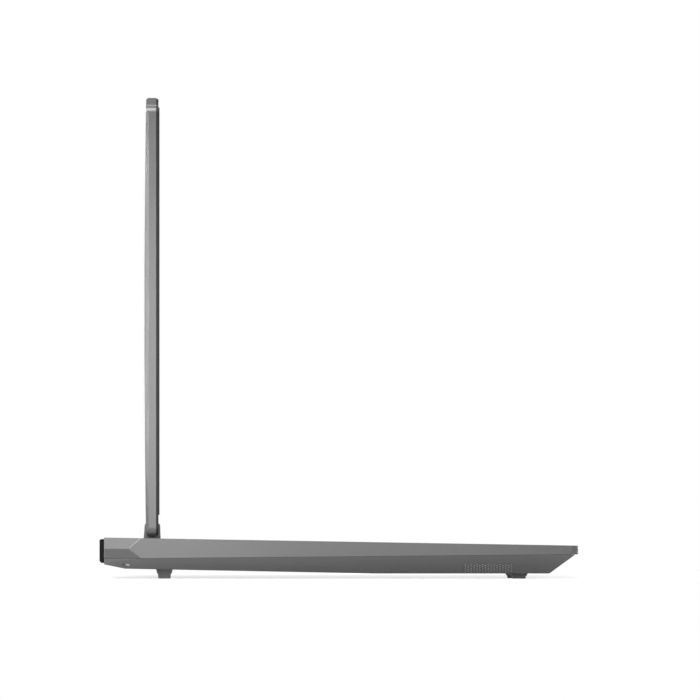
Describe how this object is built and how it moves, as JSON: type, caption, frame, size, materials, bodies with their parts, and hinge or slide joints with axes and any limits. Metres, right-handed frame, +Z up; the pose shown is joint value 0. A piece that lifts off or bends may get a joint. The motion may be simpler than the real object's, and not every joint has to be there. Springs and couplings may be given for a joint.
{
  "type": "laptop computer",
  "caption": "Laptop computer with a wedge-shaped faceted base, a thin upright screen lid on two hinge towers, full keyboard, touchpad, rear grille and strip feet.",
  "frame": {"origin": "middle of the base's footprint, on the surface that its feet rest on", "axes": "+X to the user's right, +Y from the front lip to the rear grille, +Z up; the lid stands upright at rest"},
  "size_m": [0.3598, 0.2588, 0.2612],
  "materials": {
    "case": "satin storm grey plastic",
    "cover": "satin grey plastic, a shade darker",
    "black_trim": "fine textured black plastic",
    "lid": "satin grey metallic paint",
    "bezel": "dark grey plastic",
    "panel": "dark anti-glare screen",
    "lens": "black glass lens",
    "keys": "dark grey keycaps",
    "touch": "smooth grey touch surface",
    "steel": "brushed steel",
    "dark_steel": "black coated steel",
    "copper": "bare copper",
    "aluminium": "bare aluminium",
    "board": "green circuit board",
    "dark_plastic": "black plastic",
    "rubber": "dark grey rubber"
  },
  "bodies": {
    "base": {"bottom_cover": "cover", "top_case": "case", "rear_grille": "black_trim", "hinge_tower_left": "case", "hinge_tower_right": "case", "hinge_bracket_left": "steel", "hinge_bracket_right": "steel", "keyboard_frame": "keys", "keyboard_plate": "dark_steel", "motherboard": "board", "cold_plate": "copper", "heat_pipes": "copper", "fan_housing_left": "dark_plastic", "fan_housing_right": "dark_plastic", "heatsink_left": "aluminium", "heatsink_right": "aluminium", "battery": "dark_plastic", "solid_state_drive": "dark_plastic", "memory_modules": "board", "wireless_card": "board", "speaker_left": "dark_plastic", "speaker_right": "dark_plastic", "speaker_grille_left": "cover", "speaker_grille_right": "cover", "rear_foot": "rubber", "front_feet": "rubber", "bottom_screws": "dark_steel", "usb_c_port": "steel", "usb_a_ports": "steel", "hdmi_port": "steel", "ethernet_port": "dark_plastic", "power_inlet": "dark_plastic", "side_usb_port": "steel", "audio_jack": "dark_plastic"},
    "lid": {"lid_cover": "lid", "screen_bezel": "bezel", "screen_panel": "panel", "bezel_gasket": "rubber", "camera_module": "lens", "display_cable": "dark_plastic", "hinge_arm_left": "steel", "hinge_arm_right": "steel"},
    "function_row": {"function_keys": "keys"},
    "number_row": {"number_row_keys": "keys"},
    "upper_row": {"upper_row_keys": "keys"},
    "home_row": {"home_row_keys": "keys"},
    "lower_row": {"lower_row_keys": "keys"},
    "modifier_row": {"modifier_keys": "keys"},
    "space": {"space_bar": "keys"},
    "arrows": {"arrow_keys": "keys"},
    "number_pad": {"number_pad_keys": "keys"},
    "touch_surface": {"touchpad": "touch"},
    "power_key": {"power_button": "touch"},
    "camera_shutter": {"shutter_switch": "dark_plastic"},
    "left_rotor": {"fan_rotor_left": "dark_plastic"},
    "right_rotor": {"fan_rotor_right": "dark_plastic"}
  },
  "joints": [
    {"name": "lid_hinge", "type": "hinge", "parent": "base", "child": "lid", "pos_m": [0, 0.1009, 0.02613], "axis": [1, 0, 0], "range_deg": [-45, 90.97]},
    {"name": "function_row_press", "type": "slide", "parent": "base", "child": "function_row", "axis": [0, 0.0171, -0.9999], "range_m": [0, 0.0015], "stiffness_N_per_m": 500, "springref_m": -0.0012},
    {"name": "number_row_press", "type": "slide", "parent": "base", "child": "number_row", "axis": [0, 0.0171, -0.9999], "range_m": [0, 0.0015], "stiffness_N_per_m": 500, "springref_m": -0.0012},
    {"name": "upper_row_press", "type": "slide", "parent": "base", "child": "upper_row", "axis": [0, 0.0171, -0.9999], "range_m": [0, 0.0015], "stiffness_N_per_m": 500, "springref_m": -0.0012},
    {"name": "home_row_press", "type": "slide", "parent": "base", "child": "home_row", "axis": [0, 0.0171, -0.9999], "range_m": [0, 0.0015], "stiffness_N_per_m": 500, "springref_m": -0.0012},
    {"name": "lower_row_press", "type": "slide", "parent": "base", "child": "lower_row", "axis": [0, 0.0171, -0.9999], "range_m": [0, 0.0015], "stiffness_N_per_m": 500, "springref_m": -0.0012},
    {"name": "modifier_row_press", "type": "slide", "parent": "base", "child": "modifier_row", "axis": [0, 0.0171, -0.9999], "range_m": [0, 0.0015], "stiffness_N_per_m": 500, "springref_m": -0.0012},
    {"name": "space_press", "type": "slide", "parent": "base", "child": "space", "axis": [0, 0.0171, -0.9999], "range_m": [0, 0.0015], "stiffness_N_per_m": 500, "springref_m": -0.0012},
    {"name": "arrows_press", "type": "slide", "parent": "base", "child": "arrows", "axis": [0, 0.0171, -0.9999], "range_m": [0, 0.0015], "stiffness_N_per_m": 500, "springref_m": -0.0012},
    {"name": "number_pad_press", "type": "slide", "parent": "base", "child": "number_pad", "axis": [0, 0.0171, -0.9999], "range_m": [0, 0.0015], "stiffness_N_per_m": 500, "springref_m": -0.0012},
    {"name": "touchpad_click", "type": "hinge", "parent": "base", "child": "touch_surface", "pos_m": [-0.03, -0.04363, 0.01844], "axis": [1, 0, 0], "range_deg": [0, 0.4], "stiffness_Nm_per_rad": 6, "springref_deg": -0.69},
    {"name": "power_press", "type": "slide", "parent": "base", "child": "power_key", "axis": [0, 0.0171, -0.9999], "range_m": [0, 0.0004], "stiffness_N_per_m": 500, "springref_m": -0.0006},
    {"name": "shutter_slide", "type": "slide", "parent": "base", "child": "camera_shutter", "axis": [0, 1, 0], "range_m": [0, 0.0036]},
    {"name": "left_fan_spin", "type": "hinge", "parent": "base", "child": "left_rotor", "pos_m": [-0.106, 0.06706, 0.01123], "axis": [0, -0.0171, 0.9999], "continuous": true},
    {"name": "right_fan_spin", "type": "hinge", "parent": "base", "child": "right_rotor", "pos_m": [0.106, 0.06706, 0.01123], "axis": [0, -0.0171, 0.9999], "continuous": true}
  ]
}
